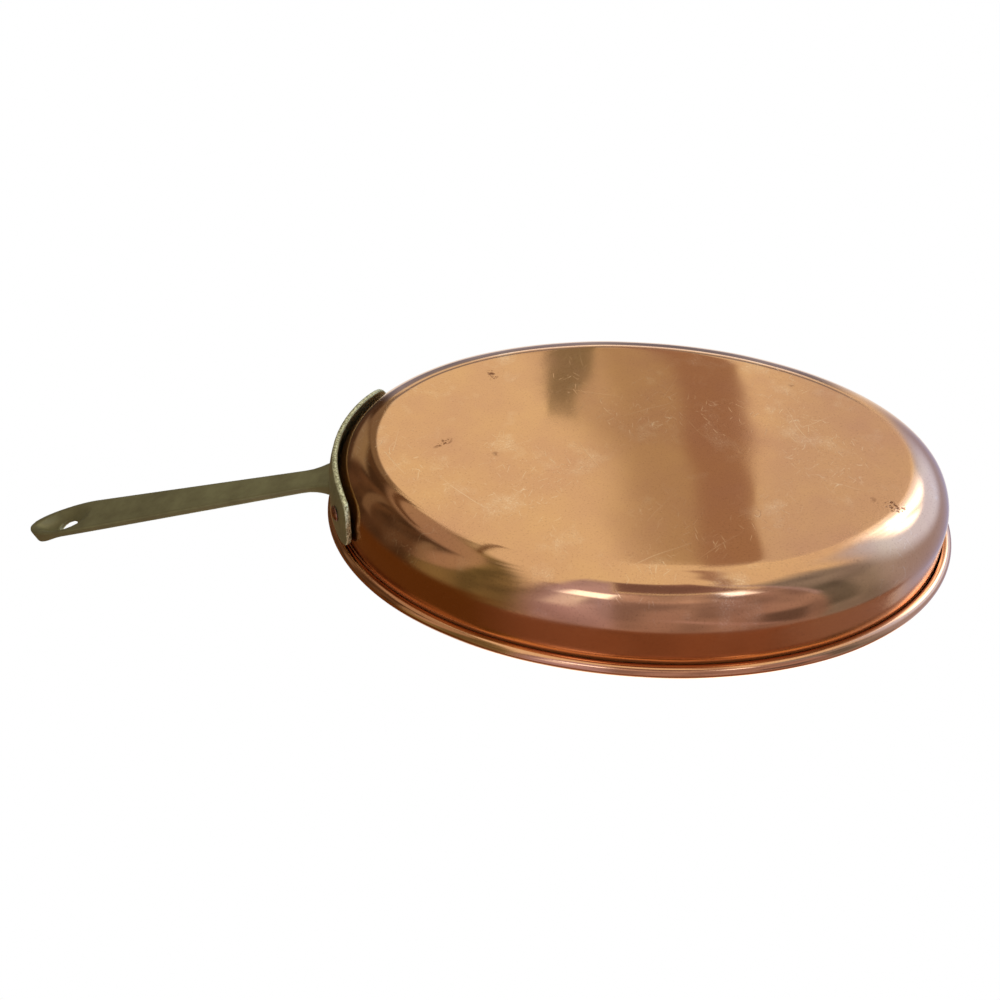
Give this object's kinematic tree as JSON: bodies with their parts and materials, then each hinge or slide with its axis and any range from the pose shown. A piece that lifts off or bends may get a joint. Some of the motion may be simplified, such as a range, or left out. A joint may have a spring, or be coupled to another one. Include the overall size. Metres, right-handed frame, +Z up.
{
  "type": "oval gratin pan",
  "caption": "Oval copper gratin pan with a rolled rim, rounded corners, tin lining and a long rising brass handle riveted to one end.",
  "frame": {"origin": "centre of the flat underside of the base, on the surface the pan stands on", "axes": "+Z up, out of the open side of the pan; +X along the long axis of the oval, away from the handle; the handle points to -X"},
  "size_m": [0.4785, 0.2088, 0.0912],
  "materials": {
    "copper": "polished copper, lightly scratched",
    "tin": "wiped tin, satin",
    "steel_wire": "drawn wire, hidden in the rim",
    "cast_brass": "cast brass, dull, ground on the edges",
    "rivet_copper": "hammered copper"
  },
  "bodies": {
    "root": {"pan_shell": "copper", "tin_lining": "tin", "rim_wire": "steel_wire", "handle": "cast_brass", "rivet_left_wing": "rivet_copper", "rivet_right_wing": "rivet_copper"}
  },
  "joints": []
}
